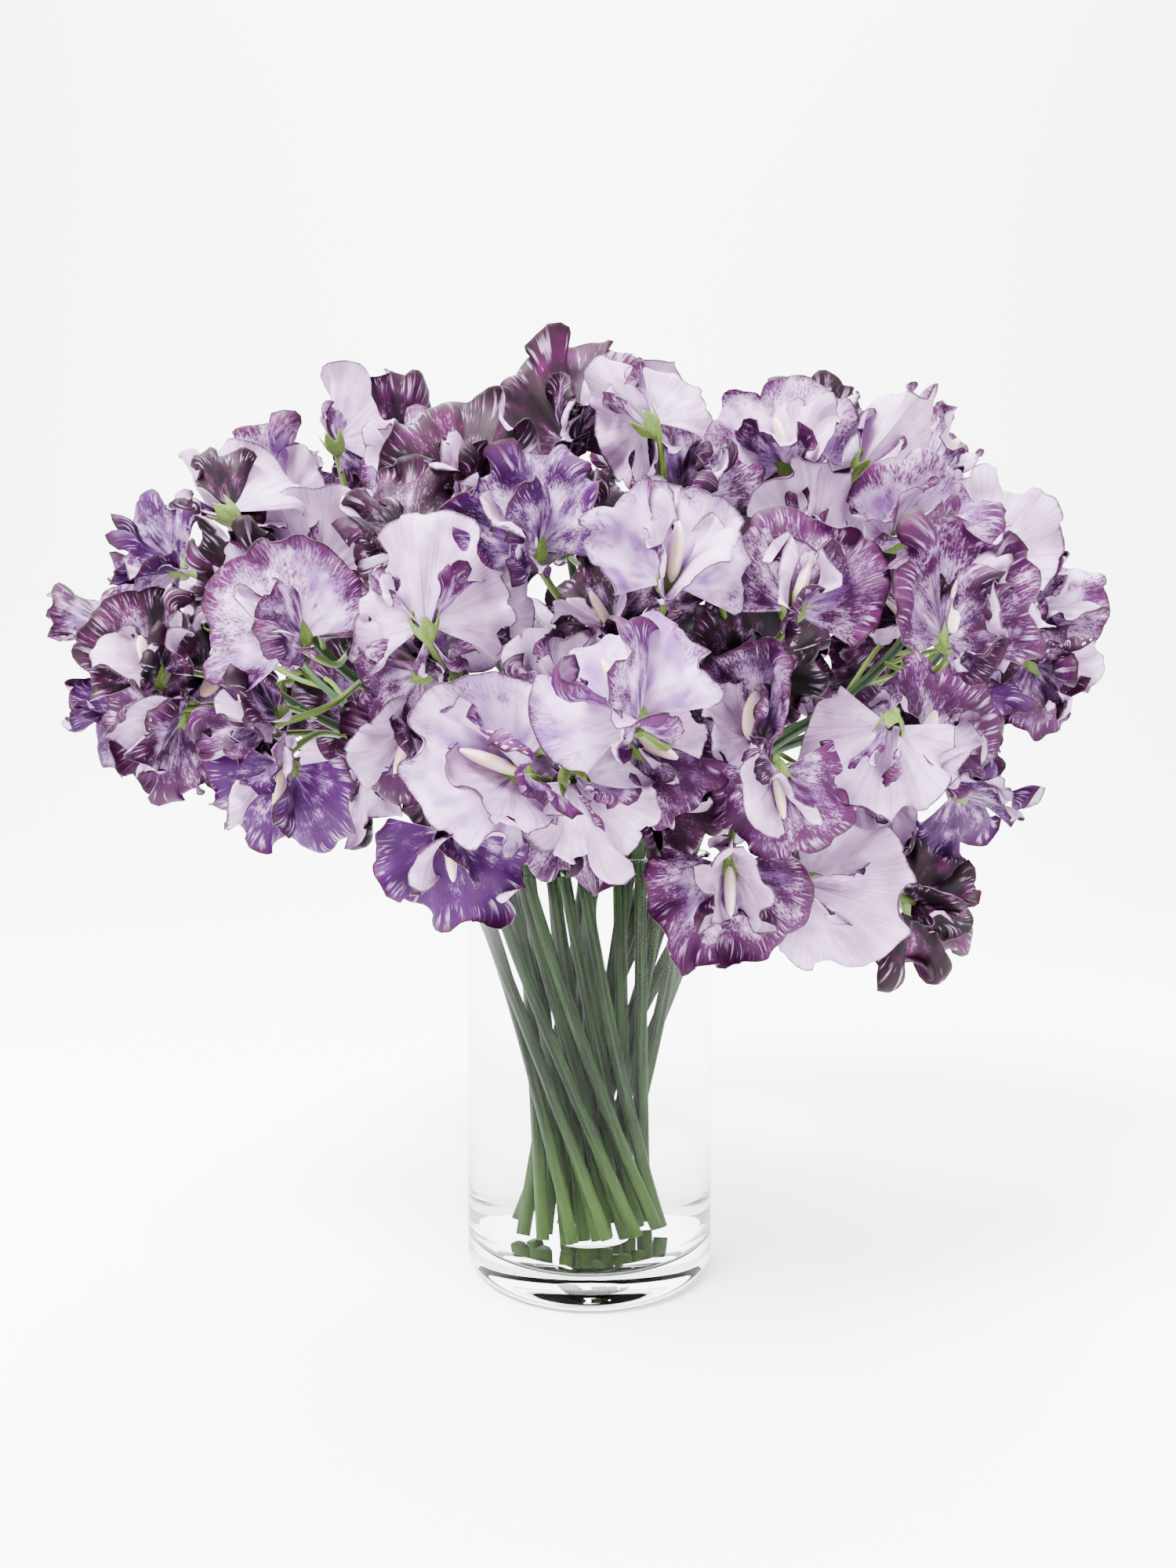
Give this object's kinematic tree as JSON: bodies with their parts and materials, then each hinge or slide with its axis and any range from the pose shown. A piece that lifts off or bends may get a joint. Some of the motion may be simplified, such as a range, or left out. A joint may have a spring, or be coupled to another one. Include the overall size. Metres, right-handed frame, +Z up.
{
  "type": "bunch of sweet peas in a glass vase",
  "caption": "Bunch of cut sweet peas, purple flakes on lilac, standing in a plain clear glass cylinder vase of water.",
  "frame": {"origin": "middle of the vase's foot, on the surface that it stands on", "axes": "+Z up the vase's axis, +X to the right of the bunch seen from its front, -Y towards the front"},
  "size_m": [0.3733, 0.2366, 0.3392],
  "materials": {
    "glass": "clear, polished",
    "water": "clear, still",
    "stalk": "satin, ribbed, grey-green",
    "petal": "matte, veined, flaked purple on lilac"
  },
  "bodies": {
    "root": {"glass_vase": "glass", "water": "water", "stem_01": "stalk", "stem_02": "stalk", "stem_03": "stalk", "stem_04": "stalk", "stem_05": "stalk", "stem_06": "stalk", "stem_07": "stalk", "stem_08": "stalk", "stem_09": "stalk", "stem_10": "stalk", "stem_11": "stalk", "stem_12": "stalk", "stem_13": "stalk", "stem_14": "stalk", "stem_15": "stalk", "stem_16": "stalk", "stem_17": "stalk", "stem_18": "stalk", "stem_19": "stalk", "stem_20": "stalk", "stem_21": "stalk", "stem_22": "stalk", "stem_23": "stalk", "stem_24": "stalk", "stem_25": "stalk", "stem_26": "stalk", "stem_27": "stalk", "stem_28": "stalk", "blossoms_01": "petal", "blossoms_02": "petal", "blossoms_03": "petal", "blossoms_04": "petal", "blossoms_05": "petal", "blossoms_06": "petal", "blossoms_07": "petal", "blossoms_08": "petal", "blossoms_09": "petal", "blossoms_10": "petal", "blossoms_11": "petal", "blossoms_12": "petal", "blossoms_13": "petal", "blossoms_14": "petal", "blossoms_15": "petal", "blossoms_16": "petal", "blossoms_17": "petal", "blossoms_18": "petal", "blossoms_19": "petal", "blossoms_20": "petal", "blossoms_21": "petal", "blossoms_22": "petal", "blossoms_23": "petal", "blossoms_24": "petal", "blossoms_25": "petal", "blossoms_26": "petal", "blossoms_27": "petal", "blossoms_28": "petal"}
  },
  "joints": []
}
